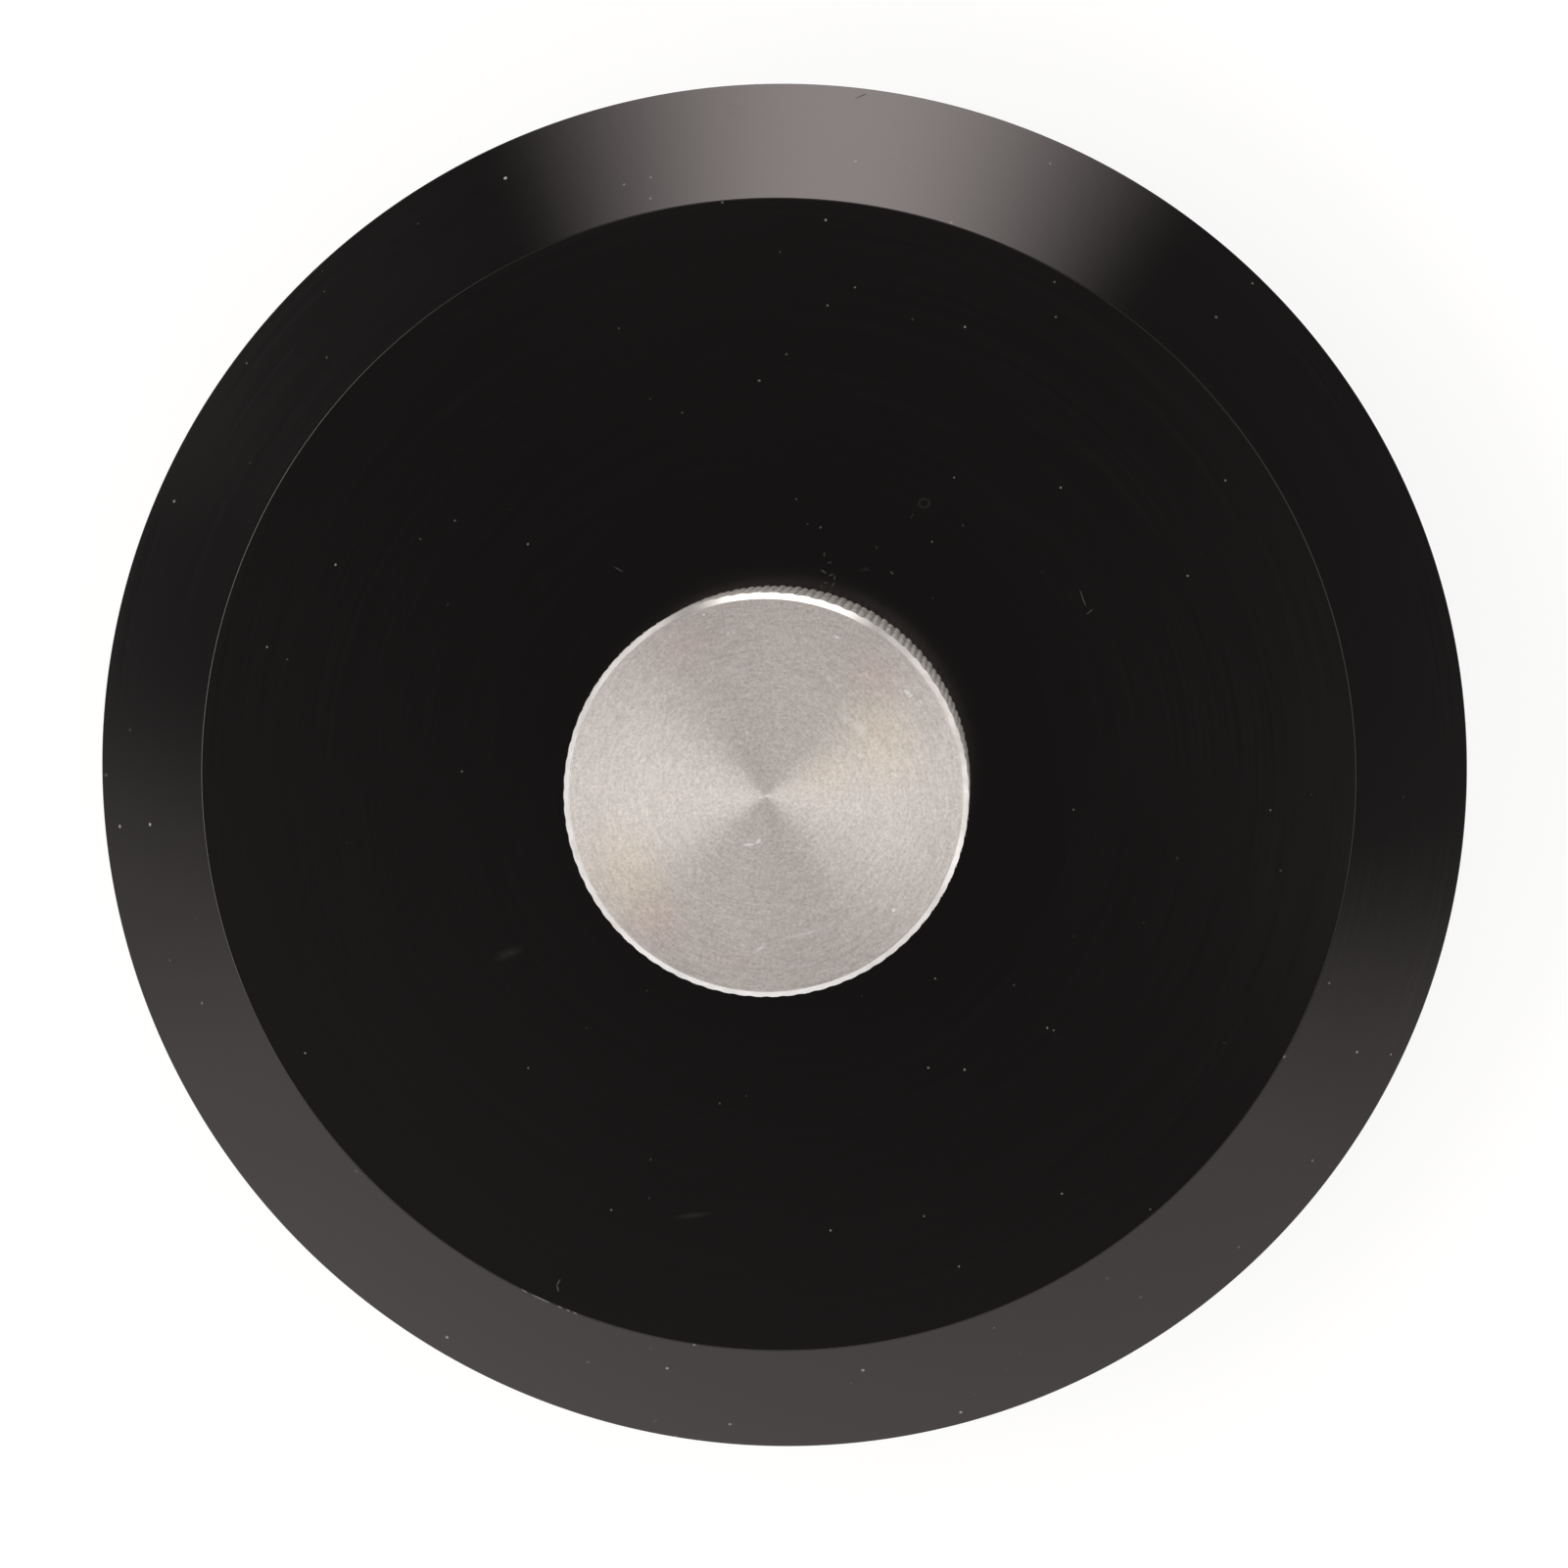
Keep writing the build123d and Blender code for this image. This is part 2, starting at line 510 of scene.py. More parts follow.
@dataclass(frozen=True)
class TurnedAluminium:
    """Bare aluminium faced on a lathe, without polish.

    The fine rings spread its shine towards and away from the axis, so that two bright and two dim
    wedges meet in the middle. Handling has left scratches, old coolant has tinted it in patches, and a
    painted highlight brightens a short streak at the very middle.
    """

    name: str = "bare_turned_aluminium"
    metal: str = "#dcd7d5"
    # Colour of the scratches, and of the painted highlight in the middle of the face
    bright_metal: str = "#ffffff"
    pink_tint: str = "#e1d4d2"
    beige_tint: str = "#e1d9ce"
    # From the smoothest to the roughest ring
    roughness: tuple[float, float] = (0.3948, 0.4452)
    anisotropy: float = 0.8
    # The real feed is about 0.1 mm a turn, drawn twice as coarse so that it shows
    tool_mark_spacing: float = 0.2
    tool_mark_depth: float = 0.0008
    ring_shades: tuple[float, float] = (0.94, 1.06)
    # The metal's own grain tears a little at the tool and breaks its rings into dashes
    dash_width: float = 0.13
    dash_shades: tuple[float, float] = (0.91, 1.09)
    grain_size: float = 0.15
    grain_shades: tuple[float, float] = (0.86, 1.14)
    # The face's colour is a little darker towards its rim
    darker_from: float = 7.0
    darker_to: float = 10.5
    darkest: float = 0.93
    scratches_and_highlight: tuple[Mark, ...] = (
        Mark(-0.95, -2.76, 0.75, 0.2, 4, 1.0),
        Mark(-0.42, -2.58, 0.45, 0.26, 40, 1.0),
        Mark(4.6, 4.35, 1.1, 0.6, -35, 0.4, Look.SOFT),
        Mark(5.3, 3.8, 1.8, 0.9, -45, 0.45, Look.SOFT),
        Mark(4.1, 4.7, 0.5, 0.3, 60, 0.35, Look.SOFT),
        Mark(7.3, 6.4, 0.7, 0.3, -55, 0.35, Look.SOFT),
        Mark(7.95, 5.85, 0.5, 0.25, -35, 0.75),
        Mark(8.15, 5.65, 0.3, 0.2, 50, 0.7),
        Mark(8.75, 5.3, 0.35, 0.16, -60, 0.5),
        Mark(4.0, 8.95, 0.4, 0.2, -15, 0.85),
        Mark(1.9, 3.75, 1.2, 0.16, -42, 0.4, Look.SOFT),
        Mark(1.5, 3.9, 0.9, 0.16, -60, 0.3, Look.SOFT),
        Mark(2.3, -7.75, 3.6, 0.3, 14, 0.5, Look.SOFT),
        Mark(3.6, -7.3, 1.2, 0.24, 28, 0.35, Look.SOFT),
        Mark(-0.35, -8.65, 1.3, 0.36, 38, 0.6, Look.SOFT),
        Mark(-1.3, -8.5, 0.8, 0.3, -20, 0.4, Look.SOFT),
        Mark(4.3, -8.2, 2.4, 0.5, 10, 0.2, Look.SOFT),
        Mark(7.2, -6.45, 0.27, 0.22, 0, 0.85),
        Mark(6.7, -6.2, 0.8, 0.4, 60, 0.3, Look.SOFT),
        Mark(-1.9, -3.5, 0.6, 0.2, 80, 0.5, Look.SOFT),
        Mark(1.45, -6.3, 0.7, 0.2, 80, 0.4, Look.SOFT),
        Mark(-0.5, -5.4, 0.3, 0.25, 0, 0.4, Look.SOFT),
        Mark(-1.05, 3.6, 0.22, 0.2, 0, 0.75),
        Mark(-1.75, 9.3, 0.5, 0.4, 0, 0.35, Look.SOFT),
        Mark(-3.45, 10.2, 0.22, 0.18, 0, 0.8),
        Mark(-2.1, 9.15, 0.25, 0.18, 30, 0.5),
        # Painted highlight: a soft bright streak across the middle of the face, along its bright wedges
        Mark(0.1, 0.0, 0.6, 0.22, 0, 0.6, Look.SOFT),
    )
    pink_patches: tuple[Mark, ...] = (
        Mark(-4.5, 8.4, 7.0, 4.6, 30, 0.7, Look.SOFT),
        Mark(6.2, 6.8, 6.0, 4.4, -40, 0.9, Look.SOFT),
        Mark(-6.2, -7.0, 7.0, 5.0, -50, 1.0, Look.SOFT),
        Mark(-2.0, -9.3, 5.0, 2.6, -15, 0.5, Look.SOFT),
    )
    beige_patches: tuple[Mark, ...] = (
        Mark(6.4, 3.4, 8.4, 6.4, -60, 0.9, Look.SOFT),
        Mark(3.6, 1.4, 6.0, 4.0, 20, 0.6, Look.SOFT),
        Mark(-7.6, -4.6, 9.0, 6.0, -60, 0.9, Look.SOFT),
    )

    def build(self) -> bpy.types.Material:
        """Build the material.

        Returns:
            The finished material.
        """
        material, shader = new_material(self.name)
        tree = material.node_tree
        lathe = LatheCoordinates(tree)
        rings = lathe.lines(self.tool_mark_spacing, arcs=5.0, detail=3.0)
        dashes = lathe.lines(self.dash_width, arcs=16.0, detail=2.0)
        grain = add_node(
            tree,
            "ShaderNodeTexNoise",
            {
                "Vector": lathe.point,
                "Scale": 1 / self.grain_size,
                "Detail": 2.0,
                "Roughness": NOISE_ROUGHNESS,
            },
        ).outputs[0]
        colour = linear(self.metal)
        for marks, tint in ((self.pink_patches, self.pink_tint), (self.beige_patches, self.beige_tint)):
            mask = all_marks(tree, lathe.point, marks)
            colour = add_node(
                tree, "ShaderNodeMix", {0: mask, MIX_A: colour, MIX_B: linear(tint)}, data_type="RGBA"
            ).outputs[MIX_RESULT]
        turned_rows = add_node(
            tree,
            "ShaderNodeMath",
            {0: remap(tree, rings, *self.ring_shades), 1: remap(tree, dashes, *self.dash_shades)},
            operation="MULTIPLY",
        ).outputs[0]
        # The colour darkens towards the face's rim
        darkest_rows = add_node(
            tree, "ShaderNodeMath", {0: turned_rows, 1: self.darkest}, operation="MULTIPLY"
        ).outputs[0]
        darkened_to_rim = add_node(
            tree,
            "ShaderNodeMapRange",
            {
                "Value": lathe.radius,
                "From Min": self.darker_from,
                "From Max": self.darker_to,
                "To Min": turned_rows,
                "To Max": darkest_rows,
            },
        ).outputs[0]
        uneven = add_node(
            tree,
            "ShaderNodeMath",
            {0: darkened_to_rim, 1: remap(tree, grain, *self.grain_shades)},
            operation="MULTIPLY",
        ).outputs[0]
        worked = add_node(
            tree, "ShaderNodeVectorMath", {0: colour, "Scale": uneven}, operation="SCALE"
        ).outputs[0]
        # Scratches, and the painted highlight in the middle, brighten the metal
        scratched_and_highlight = all_marks(tree, lathe.point, self.scratches_and_highlight)
        final = add_node(
            tree,
            "ShaderNodeMix",
            {0: scratched_and_highlight, MIX_A: worked, MIX_B: linear(self.bright_metal)},
            data_type="RGBA",
        ).outputs[MIX_RESULT]
        bump = add_node(
            tree, "ShaderNodeBump", {"Height": rings, "Distance": self.tool_mark_depth * MM}
        ).outputs[0]
        feed(
            tree,
            shader,
            {
                "Base Color": final,
                "Metallic": 1.0,
                "Roughness": remap(tree, rings, *self.roughness),
                "Anisotropic": self.anisotropy,
                "Anisotropic Rotation": ACROSS_TOOL_MARKS,
                "Normal": bump,
                "Tangent": lathe.around,
            },
        )
        return material


@dataclass(frozen=True)
class WorkedEdge:
    """Bare aluminium where a tool cut a chamfer or a wheel rolled the knurl.

    It has no turned rings, so it shines evenly. Grime lies in patches, and painted shade darkens the
    grooves.
    Roughness and grime each have a lowest and a highest value. A groove's painted shade goes from its
    floor's radius to its crests', and where there are no grooves, both are far inside the piece.
    """

    name: str
    metal: str
    # Colour of the grime patches, and of the painted shade in the grooves
    grime_and_groove_shade: str
    roughness: tuple[float, float]
    patch_size: float
    grime_share: tuple[float, float]
    groove_floor: float = 1.0
    groove_crest: float = 2.0

    def build(self) -> bpy.types.Material:
        """Build the material.

        Returns:
            The finished material.
        """
        material, shader = new_material(self.name)
        tree = material.node_tree
        lathe = LatheCoordinates(tree)
        patches = add_node(
            tree,
            "ShaderNodeTexNoise",
            {
                "Vector": lathe.point,
                "Scale": 1 / self.patch_size,
                "Detail": 3.0,
                "Roughness": NOISE_ROUGHNESS,
            },
        ).outputs[0]
        # Painted shade: the colour darkens from the grooves' crests down to their floors
        groove_shade = add_node(
            tree,
            "ShaderNodeMapRange",
            {"Value": lathe.radius, "From Min": self.groove_crest, "From Max": self.groove_floor},
        ).outputs[0]
        grime_and_groove_shade = add_node(
            tree,
            "ShaderNodeMath",
            {0: remap(tree, patches, *self.grime_share), 1: groove_shade},
            operation="ADD",
            use_clamp=True,
        ).outputs[0]
        colour = add_node(
            tree,
            "ShaderNodeMix",
            {0: grime_and_groove_shade, MIX_A: linear(self.metal), MIX_B: linear(self.grime_and_groove_shade)},
            data_type="RGBA",
        ).outputs[MIX_RESULT]
        feed(
            tree,
            shader,
            {
                "Base Color": colour,
                "Metallic": 1.0,
                "Roughness": remap(tree, patches, *self.roughness),
            },
        )
        return material


CUT_CHAMFER = WorkedEdge(
    name="bare_cut_aluminium_chamfer",
    metal="#edeae9",
    grime_and_groove_shade="#d4d0cd",
    roughness=(0.153, 0.207),
    patch_size=1.4,
    grime_share=(0.0, 0.8),
)
ROLLED_KNURL = WorkedEdge(
    name="bare_rolled_aluminium_knurl",
    metal="#fbf8f4",
    # Grey of the grime patches and of the painted shade in the knurl's grooves
    grime_and_groove_shade="#97928b",
    roughness=(0.527, 0.713),
    patch_size=0.5,
    grime_share=(-0.2, 0.5),
    groove_floor=11.25,
    groove_crest=11.43,
)


@dataclass(frozen=True)
class MouldedRubber:
    """Black nitrile rubber, moulded flat: matt, with the mould's fine even grain."""

    name: str = "moulded_black_rubber"
    rubber: str = "#262524"
    worn: str = "#353332"
    # From the least to the most worn patch
    roughness: tuple[float, float] = (0.69, 0.81)
    worn_patches_in_a_mm: float = 0.15
    grain_size: float = 0.12
    grain_depth: float = 0.004

    def build(self) -> bpy.types.Material:
        """Build the material.

        Returns:
            The finished material.
        """
        material, shader = new_material(self.name)
        tree = material.node_tree
        lathe = LatheCoordinates(tree)
        grain, wear = (
            add_node(
                tree, "ShaderNodeTexNoise", {"Vector": lathe.point, "Scale": scale, "Detail": detail}
            ).outputs[0]
            for scale, detail in ((1 / self.grain_size, 2.0), (self.worn_patches_in_a_mm, 4.0))
        )
        colour = add_node(
            tree,
            "ShaderNodeMix",
            {0: remap(tree, wear, 0, 1), MIX_A: linear(self.rubber), MIX_B: linear(self.worn)},
            data_type="RGBA",
        ).outputs[MIX_RESULT]
        bump = add_node(
            tree, "ShaderNodeBump", {"Height": grain, "Distance": self.grain_depth * MM}
        ).outputs[0]
        feed(
            tree,
            shader,
            {
                "Base Color": colour,
                "Roughness": remap(tree, wear, *self.roughness),
                "Normal": bump,
            },
        )
        return material


def turn(outline: Outline, closed: bool) -> bmesh.types.BMesh:
    """Turn an outline about the spindle's axis.

    Args:
        outline: Points as radius and height in millimetres.
        closed: Whether the last point joins the first. An outline that starts and ends on the axis is open.

    Returns:
        The closed mesh in metres, with its faces outwards.
    """
    bm = bmesh.new()
    corners = [bm.verts.new((radius * MM, 0, height * MM)) for radius, height in outline]
    pairs = list(zip(corners, corners[1:]))
    if closed:
        pairs.append((corners[-1], corners[0]))
    edges = [bm.edges.new(pair) for pair in pairs]
    bmesh.ops.spin(
        bm,
        geom=corners + edges,
        axis=(0, 0, 1),
        angle=math.tau,
        steps=LATHE_STEPS,
        use_merge=True,
    )
    bmesh.ops.remove_doubles(bm, verts=bm.verts, dist=MERGE_DISTANCE)
    bmesh.ops.recalc_face_normals(bm, faces=bm.faces)
    return bm


def round_ring(bm: bmesh.types.BMesh, radius: float, height: float, size: float, segments: int = 3) -> None:
    """Round one circular edge of a turned mesh.

    Args:
        bm: The mesh.
        radius: The edge's radius in millimetres.
        height: The edge's height in millimetres.
        size: How far the rounding reaches from the edge in millimetres.
        segments: Faces across the rounding.
    """
    on_ring = {
        vertex
        for vertex in bm.verts
        if abs(vertex.co.xy.length / MM - radius) < SAME_RING_MM
        and abs(vertex.co.z / MM - height) < SAME_RING_MM
    }
    edges = [edge for edge in bm.edges if on_ring.issuperset(edge.verts)]
    bmesh.ops.bevel(
        bm,
        geom=edges,
        offset=size * MM,
        offset_type="OFFSET",
        segments=segments,
        profile=0.5,
        affect="EDGES",
        material=-1,
    )


def place(bm: bmesh.types.BMesh, name: str, sharp_angle: float = SHARP_ANGLE) -> bpy.types.Object:
    """Make an object at the origin from a finished mesh.

    Args:
        bm: The mesh, which is freed.
        name: The object's name.
        sharp_angle: The angle between two faces, in radians, from which their edge is sharp.

    Returns:
        The object, smooth except at its sharp edges.
    """
    mesh = bpy.data.meshes.new(name)
    bm.to_mesh(mesh)
    bm.free()
    mesh.shade_smooth()
    mesh.set_sharp_from_angle(angle=sharp_angle)
    made = bpy.data.objects.new(name, mesh)
    bpy.context.scene.collection.objects.link(made)
    return made


def keep_flats_flat(made: bpy.types.Object) -> None:
    """Weight the normals by area, so that a rounded edge doesn't bend the shine of the faces beside it.

    Args:
        made: The piece, which gets the modifier.
    """
    weighted = made.modifiers.new("flats", "WEIGHTED_NORMAL")
    weighted.mode = "FACE_AREA"
    weighted.weight = LARGE_FACES_RULE
    weighted.keep_sharp = True


def dress(made: bpy.types.Object, node: str, materials: Sequence[bpy.types.Material]) -> None:
    """Give a piece its finishes and its place in the frame.

    Args:
        made: The piece.
        node: The CAD node that it stands for.
        materials: Its finishes, the main one first.
    """
    for material in materials:
        made.data.materials.append(material)
    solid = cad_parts[node]
    solid.data.materials.clear()
    solid.data.materials.append(materials[0])
    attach(made, BODY)
    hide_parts(node)


def box_mm(node: str) -> tuple[Vector, Vector]:
    """Measure a solid of the frame.

    Args:
        node: The CAD node.

    Returns:
        Its lowest and its highest corner in millimetres.
    """
    low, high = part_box(node)
    return low / MM, high / MM


@dataclass
class WeightDisc:
    """The disc: turned from one bar, with a wide bevel, the spindle bore and the pad's groove."""

    node: str = DISC_NODE
    bevel_width: float = 7.0
    bevel_drop: float = 5.4
    edge_break: float = 0.04
    bottom_chamfer: float = 0.8
    bore_radius: float = 3.65
    bore_lead_in: float = 1.0
    tapped_radius: float = 5.1
    tapped_depth: float = 6.5
    countersink: float = 0.6
    pad_groove_inner: float = 15.0
    rim_width: float = 4.5
    pad_groove_roof: float = 2.0

    def build(self) -> bpy.types.Object:
        """Build and dress the disc.

        Returns:
            The disc.
        """
        low, high = box_mm(self.node)
        radius = min(high.x, high.y, -low.x, -low.y)
        bottom, top = low.z, high.z
        tapped_floor = top - self.tapped_depth
        bevel_foot = top - self.bevel_drop
        flat_radius = radius - self.bevel_width
        groove_outer = radius - self.rim_width
        bm = turn(
            (
                (self.bore_radius + self.bore_lead_in, bottom),
                (self.pad_groove_inner, bottom),
                (self.pad_groove_inner, self.pad_groove_roof),
                (groove_outer, self.pad_groove_roof),
                (groove_outer, bottom),
                (radius - self.bottom_chamfer, bottom),
                (radius, bottom + self.bottom_chamfer),
                (radius, bevel_foot),
                (flat_radius, top),
                (self.tapped_radius + self.countersink, top),
                (self.tapped_radius, top - self.countersink),
                (self.tapped_radius, tapped_floor),
                (self.bore_radius, tapped_floor),
                (self.bore_radius, bottom + self.bore_lead_in),
            ),
            closed=True,
        )
        round_ring(bm, flat_radius, top, self.edge_break)
        round_ring(bm, radius, bevel_foot, self.edge_break)
        round_ring(bm, groove_outer, bottom, self.edge_break)
        round_ring(bm, self.pad_groove_inner, bottom, self.edge_break)
        disc = place(bm, "disc")
        keep_flats_flat(disc)
        dress(disc, self.node, [BlackAnodised().build()])
        return disc


@dataclass
class UndersidePad:
    """The flat rubber ring in the underside's groove."""

    node: str = "underside_pad"
    hole_radius: float = 15.2
    moulded_edge: float = 0.25

    def build(self) -> bpy.types.Object:
        """Build and dress the ring.

        Returns:
            The ring.
        """
        low, high = box_mm(self.node)
        corners = (
            (self.hole_radius, low.z),
            (high.x, low.z),
            (high.x, high.z),
            (self.hole_radius, high.z),
        )
        bm = turn(corners, closed=True)
        for radius, height in corners:
            round_ring(bm, radius, height, self.moulded_edge)
        pad = place(bm, "rubber_ring")
        keep_flats_flat(pad)
        dress(pad, self.node, [MouldedRubber().build()])
        return pad


class Finish(IntEnum):
    """The knob's finishes, by the number of their material slot."""

    TURNED = 0
    CHAMFER = 1
    KNURL = 2


@dataclass
class GripKnob:
    """The knob: a bar with a diamond knurl, turned to a faced head on a spigot."""

    node: str = "grip_knob"
    teeth: int = 78
    rows: int = 14
    rows_past_seat: int = 8
    rows_past_face: int = 2
    knurl_depth: float = 0.22
    knurl_depth_at_chamfer: float = 0.05
    crest_flat_share: float = 0.25
    chamfer: float = 0.35
    face_edge: float = 0.02
    spigot_radius: float = 5.0
    spigot_chamfer: float = 0.8
    undercut_radius: float = 4.2
    undercut_width: float = 1.2
    past_crests: float = 0.5
    # Small enough that the face's rounded edge doesn't bend the shine of the chamfer
    sharp_angle: float = math.radians(8)
    # How far up or down the faces of a turned end and of a chamfer look, where straight up is one
    end_slope: float = 0.99
    chamfer_slope: float = 0.6
    radius: float = field(init=False)
    bottom: float = field(init=False)
    top: float = field(init=False)
    seat_height: float = field(init=False)

    def __post_init__(self) -> None:
        """Take the place of the knob from its solid, and its seat from the disc's."""
        low, high = box_mm(self.node)
        self.radius, self.bottom, self.top = high.x, low.z, high.z
        self.seat_height = box_mm(DISC_NODE)[1].z

    def build(self) -> bpy.types.Object:
        """Build and dress the knob.

        Returns:
            The knob.
        """
        bar = place(self.knurled_bar(), "bar")
        blank = place(self.blank(), "blank")
        cut = bar.modifiers.new("turned", "BOOLEAN")
        cut.operation = "INTERSECT"
        cut.solver = "EXACT"
        cut.object = blank
        graph = bpy.context.evaluated_depsgraph_get()
        mesh = bpy.data.meshes.new_from_object(bar.evaluated_get(graph))
        for spare in (bar, blank):
            bpy.data.objects.remove(spare)
        bm = bmesh.new()
        bm.from_mesh(mesh)
        bmesh.ops.remove_doubles(bm, verts=bm.verts, dist=MERGE_DISTANCE)
        for face in bm.faces:
            face.material_index = self.finish_of(face)
        knob = place(bm, "knob", self.sharp_angle)
        finishes = [TurnedAluminium().build(), CUT_CHAMFER.build(), ROLLED_KNURL.build()]
        dress(knob, self.node, finishes)
        return knob

    def knurled_bar(self) -> bmesh.types.BMesh:
        """Make a bar that is longer than the knob, with pyramids between its two families of grooves.

        Returns:
            The bar. Each corner of its grid is a crest, or a crossing of two grooves by turns.
        """
        columns = 2 * self.teeth
        row_height = (self.top - self.seat_height - self.chamfer) / self.rows
        bar_rows = self.rows + self.rows_past_seat + self.rows_past_face
        bar_bottom = self.seat_height - self.rows_past_seat * row_height
        bm = bmesh.new()
        bmesh.ops.create_cone(
            bm,
            cap_ends=True,
            segments=columns,
            radius1=self.radius * MM,
            radius2=self.radius * MM,
            depth=bar_rows * row_height * MM,
            matrix=Matrix.Translation((0, 0, (bar_bottom + bar_rows * row_height / 2) * MM)),
        )
        upright = [edge for edge in bm.edges if abs(edge.verts[0].co.z - edge.verts[1].co.z) > MM]
        bmesh.ops.subdivide_edges(bm, edges=upright, cuts=bar_rows - 1, use_grid_fill=True)
        crests, crossings = [], []
        for vertex in bm.verts:
            column = round(math.atan2(vertex.co.y, vertex.co.x) / math.tau * columns)
            row = round((vertex.co.z / MM - self.seat_height) / row_height)
            is_end = row in (-self.rows_past_seat, self.rows + self.rows_past_face)
            depth = self.knurl_depth if row < self.rows else self.knurl_depth_at_chamfer
            if (column + row) % 2:
                vertex.co.xy *= (self.radius - depth) / self.radius
                if not is_end:
                    crossings.append(vertex)
            elif not is_end:
                # The bevel below takes this tip off again, down to the knob's radius
                tip = depth * self.crest_flat_share / (1 - self.crest_flat_share)
                vertex.co.xy *= (self.radius + tip) / self.radius
                crests.append(vertex)
        bmesh.ops.connect_verts(bm, verts=crossings)
        bmesh.ops.bevel(
            bm,
            geom=crests,
            offset=100 * self.crest_flat_share,
            offset_type="PERCENT",
            segments=1,
            profile=0.5,
            affect="VERTICES",
            material=-1,
        )
        return bm

    def blank(self) -> bmesh.types.BMesh:
        """Make the turned form that the bar is cut to.

        Returns:
            The form, which is wider than the crests below its chamfer.
        """
        inner = self.radius - self.chamfer
        outer = self.radius + self.past_crests
        rise = outer - inner
        bm = turn(
            (
                (0, self.top),
                (inner, self.top),
                (outer, self.top - rise),
                (outer, self.seat_height),
                (self.undercut_radius, self.seat_height),
                (self.undercut_radius, self.seat_height - self.undercut_width),
                (
                    self.spigot_radius,
                    self.seat_height - self.undercut_width - self.spigot_radius + self.undercut_radius,
                ),
                (self.spigot_radius, self.bottom + self.spigot_chamfer),
                (self.spigot_radius - self.spigot_chamfer, self.bottom),
                (0, self.bottom),
            ),
            closed=False,
        )
        round_ring(bm, inner, self.top, self.face_edge)
        return bm

    def finish_of(self, face: bmesh.types.BMFace) -> Finish:
        """Tell a face's finish from where it lies and looks.

        Args:
            face: A face of the knob.

        Returns:
            The finish.
        """
        middle = face.calc_center_median()
        slope = abs(face.normal.z)
        outer = middle.xy.length / MM > self.radius - self.chamfer - self.face_edge
        if not outer or middle.z / MM < self.seat_height or slope > self.end_slope:
            return Finish.TURNED
        return Finish.CHAMFER if slope > self.chamfer_slope else Finish.KNURL


@dataclass(frozen=True)
class Card:
    """A soft light or a white card, as the object sees it: a patch of the room with soft edges.

    Angles are in degrees. Azimuth turns from +X to +Y, and elevation is above the horizon.
    """

    azimuth: float
    half_width: float
    low: float
    high: float
    radiance: float
    soft_sides: float = 12.0
    soft_ends: float = 6.0

    def light(
        self,
        tree: bpy.types.NodeTree,
        level: bpy.types.NodeSocket,
        elevation: bpy.types.NodeSocket,
    ) -> bpy.types.NodeSocket:
        """Work out the card's light in each direction.

        Args:
            tree: The world's node tree.
            level: The direction's unit vector in the ground plane.
            elevation: The direction's elevation in degrees.

        Returns:
            The card's radiance there.
        """
        towards = (math.cos(math.radians(self.azimuth)), math.sin(math.radians(self.azimuth)), 0)
        facing = add_node(tree, "ShaderNodeVectorMath", {0: level, 1: towards}, operation="DOT_PRODUCT")
        apart = add_node(
            tree, "ShaderNodeMath", {0: facing.outputs["Value"]}, operation="ARCCOSINE"
        ).outputs[0]
        apart = add_node(tree, "ShaderNodeMath", {0: apart}, operation="DEGREES").outputs[0]
        light = None
        for value, edge, inward, soft in (
            (apart, self.half_width, -1, self.soft_sides),
            (elevation, self.low, 1, self.soft_ends),
            (elevation, self.high, -1, self.soft_ends),
        ):
            limits = {
                "Value": value,
                "From Min": edge - inward * soft / 2,
                "From Max": edge + inward * soft / 2,
                "To Max": self.radiance if light is None else 1.0,
            }
            part = add_node(
                tree, "ShaderNodeMapRange", limits, interpolation_type="SMOOTHSTEP"
            ).outputs[0]
            if light is not None:
                part = add_node(
                    tree, "ShaderNodeMath", {0: light, 1: part}, operation="MULTIPLY"
                ).outputs[0]
            light = part
        return light


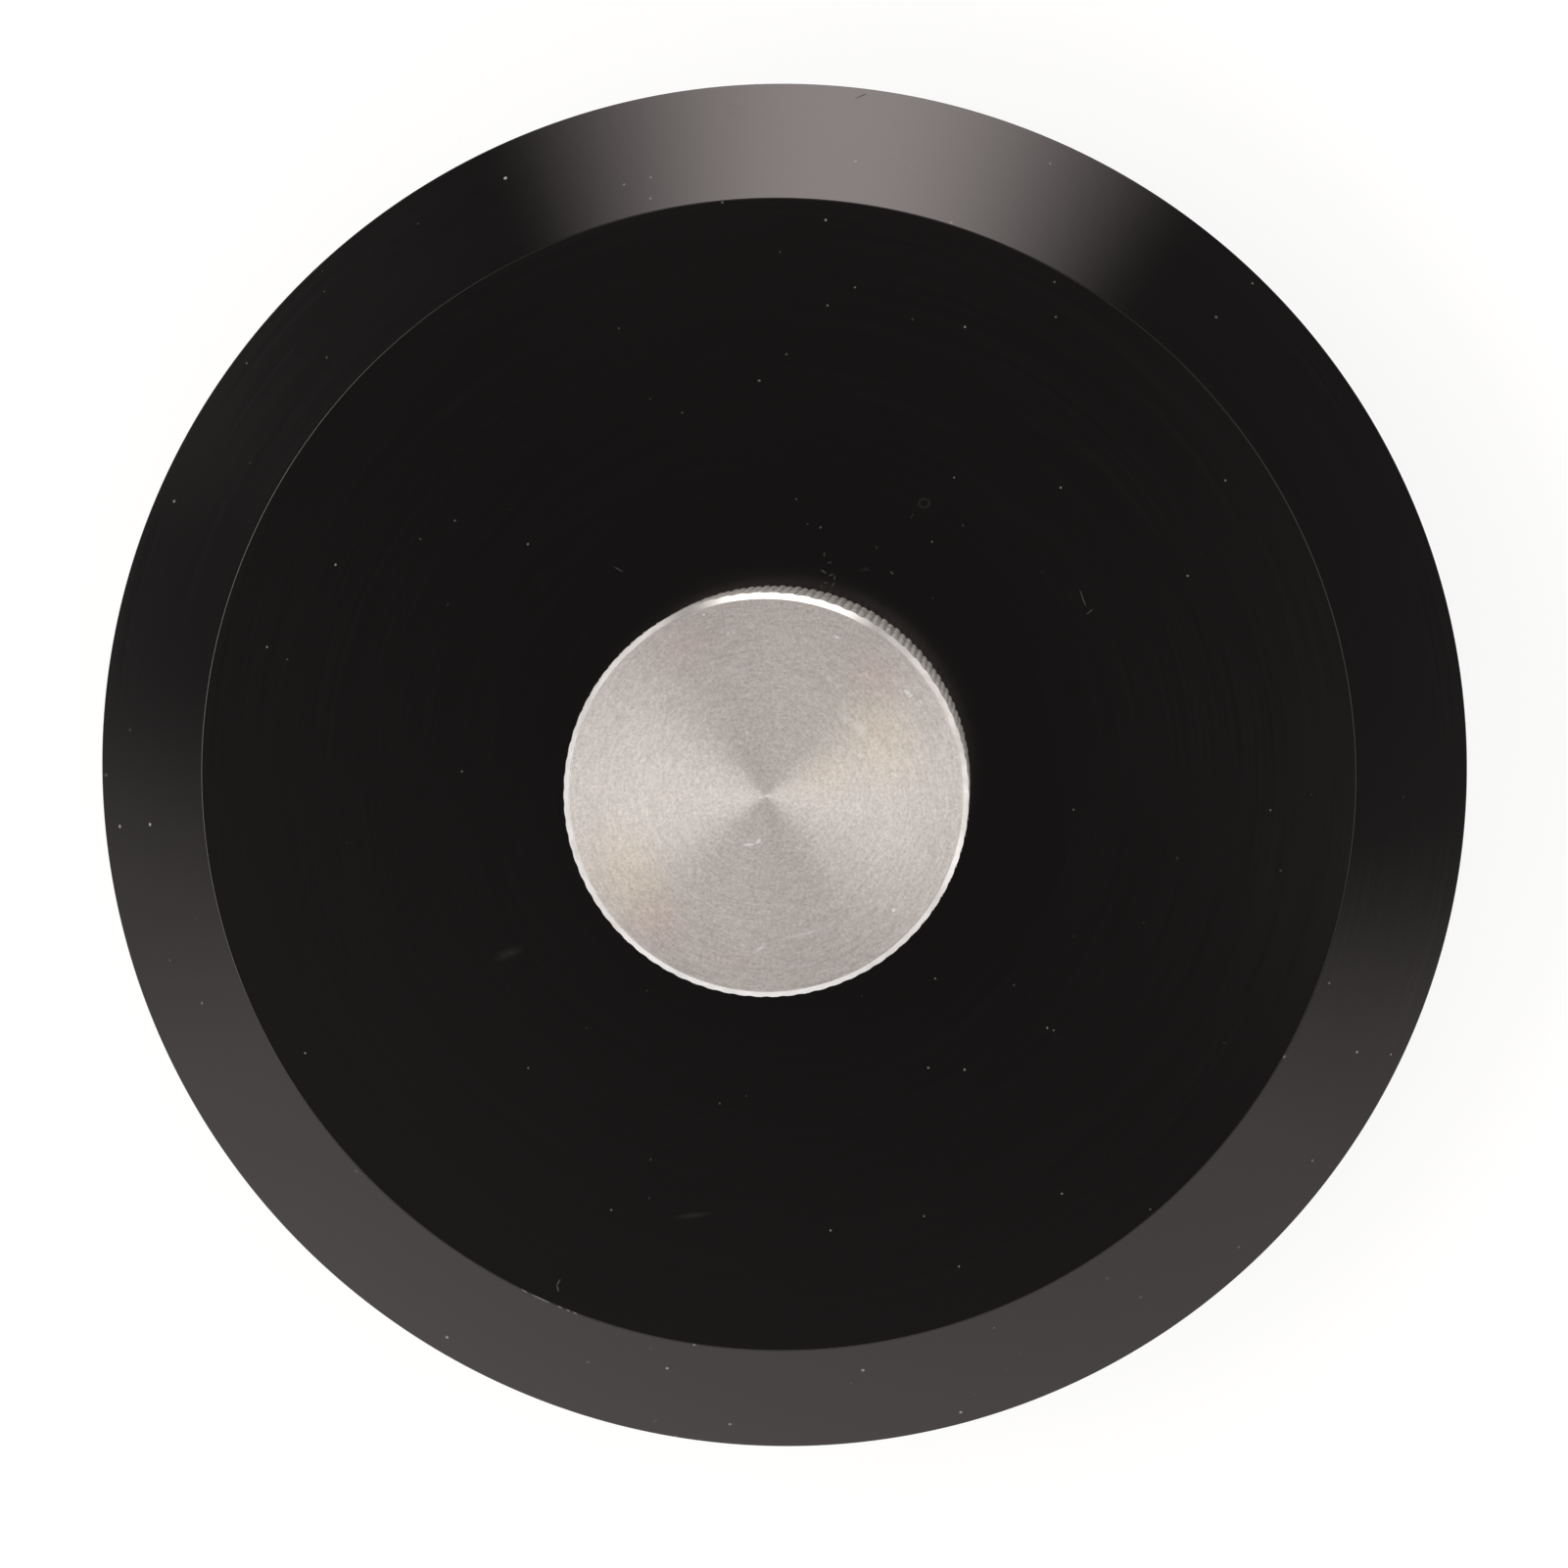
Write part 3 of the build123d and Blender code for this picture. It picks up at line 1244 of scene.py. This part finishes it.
@dataclass(frozen=True)
class Studio:
    """A white light table in a dim room, with white cards round it and soft lights above.

    The first two cards make the bevel's bright stretches, the next four rise behind the table's edge,
    and the rest are the lights over the knob.
    """

    light_tint: str = "#fffaf5"
    room_radiance: float = 0.087
    background: str = "#ffffff"
    cards: tuple[Card, ...] = (
        Card(azimuth=263.5, half_width=70, low=-6, high=18, radiance=0.61, soft_sides=38),
        Card(azimuth=86.2, half_width=17.8, low=-2, high=26, radiance=3.55, soft_sides=33),
        Card(azimuth=12, half_width=42, low=-8, high=4.5, radiance=1.12, soft_sides=16, soft_ends=2.5),
        Card(azimuth=140, half_width=18, low=-8, high=3.5, radiance=0.9, soft_sides=16, soft_ends=2.5),
        Card(azimuth=175, half_width=17, low=-8, high=1.0, radiance=0.9, soft_sides=16, soft_ends=2.5),
        Card(azimuth=275, half_width=60, low=-8, high=2, radiance=0.2, soft_sides=30),
        Card(azimuth=180, half_width=39, low=45, high=65, radiance=4.3, soft_sides=45),
        Card(azimuth=270, half_width=45, low=45, high=65, radiance=1.6, soft_sides=45),
        Card(azimuth=0, half_width=39, low=45, high=65, radiance=0.55, soft_sides=45),
        Card(azimuth=0, half_width=39, low=65, high=80, radiance=1.6, soft_sides=45),
        Card(azimuth=90, half_width=45, low=65, high=80, radiance=1.2, soft_sides=45),
        Card(azimuth=235, half_width=60, low=65, high=80, radiance=0.06, soft_sides=45),
    )
    table_radius: float = 900.0
    table_base: str = "#8a8a8a"
    table_white: str = "#ffffff"
    table_glow: float = 0.85
    table_roughness: float = 0.9

    def build(self) -> None:
        """Build the room's light, the table and the camera."""
        self.light_room()
        self.lay_table()
        Camera().build()
        bpy.context.scene.view_settings.view_transform = "Standard"

    def light_room(self) -> None:
        """Light the room with the cards, and show the camera a plain white room."""
        world = bpy.data.worlds.new("studio")
        world.use_nodes = True
        tree = world.node_tree
        tree.nodes.clear()
        direction = add_node(tree, "ShaderNodeTexCoord").outputs["Generated"]
        parts = add_node(tree, "ShaderNodeSeparateXYZ", {0: direction})
        flat = add_node(tree, "ShaderNodeCombineXYZ", {0: parts.outputs[0], 1: parts.outputs[1]}).outputs[0]
        level = add_node(tree, "ShaderNodeVectorMath", {0: flat}, operation="NORMALIZE").outputs[0]
        rise = add_node(tree, "ShaderNodeMath", {0: parts.outputs[2]}, operation="ARCSINE").outputs[0]
        elevation = add_node(tree, "ShaderNodeMath", {0: rise}, operation="DEGREES").outputs[0]
        light = self.room_radiance
        for card in self.cards:
            shone = card.light(tree, level, elevation)
            light = add_node(tree, "ShaderNodeMath", {0: shone, 1: light}, operation="ADD").outputs[0]
        lit = add_node(
            tree, "ShaderNodeBackground", {"Color": linear(self.light_tint), "Strength": light}
        ).outputs[0]
        seen = add_node(tree, "ShaderNodeBackground", {"Color": linear(self.background)}).outputs[0]
        path = add_node(tree, "ShaderNodeLightPath").outputs["Is Camera Ray"]
        both = add_node(tree, "ShaderNodeMixShader", {0: path, 1: lit, 2: seen}).outputs[0]
        add_node(tree, "ShaderNodeOutputWorld", {"Surface": both})
        bpy.context.scene.world = world

    def lay_table(self) -> None:
        """Lay the round light table that the weight stands on."""
        bm = bmesh.new()
        bmesh.ops.create_circle(bm, cap_ends=True, segments=LATHE_STEPS, radius=self.table_radius * MM)
        table = place(bm, "table")
        # Opal acrylic glows evenly through its thickness, and its matt top mirrors nothing
        material, shader = new_material("opal_acrylic_light_table")
        feed(
            material.node_tree,
            shader,
            {
                "Base Color": linear(self.table_base),
                "Roughness": self.table_roughness,
                "Specular IOR Level": 0.0,
                "Emission Color": linear(self.table_white),
                "Emission Strength": self.table_glow,
            },
        )
        table.data.materials.append(material)


@dataclass(frozen=True)
class Camera:
    """The camera, which looks down on the weight from a little behind and to the right of it.

    Lengths are in millimetres and angles in degrees. The camera leans about an axis in the ground plane.
    """

    lens: float = 103.02
    sensor: float = 36.0
    right: float = 12.843
    back: float = 20.601
    above_disc: float = 262.688
    tilt: float = 5.264
    tilt_axis: float = -30.64
    nearest: float = 10.0
    farthest: float = 10000.0

    def build(self) -> None:
        """Place the camera and make it the scene's own."""
        data = bpy.data.cameras.new("camera")
        data.lens = self.lens
        data.sensor_width = self.sensor
        data.clip_start = self.nearest * MM
        data.clip_end = self.farthest * MM
        camera = bpy.data.objects.new("camera", data)
        bpy.context.scene.collection.objects.link(camera)
        top = box_mm(DISC_NODE)[1].z
        seat = Vector((self.right, self.back, top + self.above_disc)) * MM
        axis = (math.cos(math.radians(self.tilt_axis)), math.sin(math.radians(self.tilt_axis)), 0)
        camera.matrix_world = Matrix.Translation(seat) @ Matrix.Rotation(math.radians(-self.tilt), 4, axis)
        bpy.context.scene.camera = camera


def main() -> None:
    """Build the studio and every piece, and report them."""
    logging.basicConfig(level=logging.INFO, format="%(message)s")
    Studio().build()
    for maker in (WeightDisc(), UndersidePad(), GripKnob()):
        piece = maker.build()
        logging.info("%s stands for %s: %d faces", piece.name, maker.node, len(piece.data.polygons))


if __name__ == "__main__":
    main()
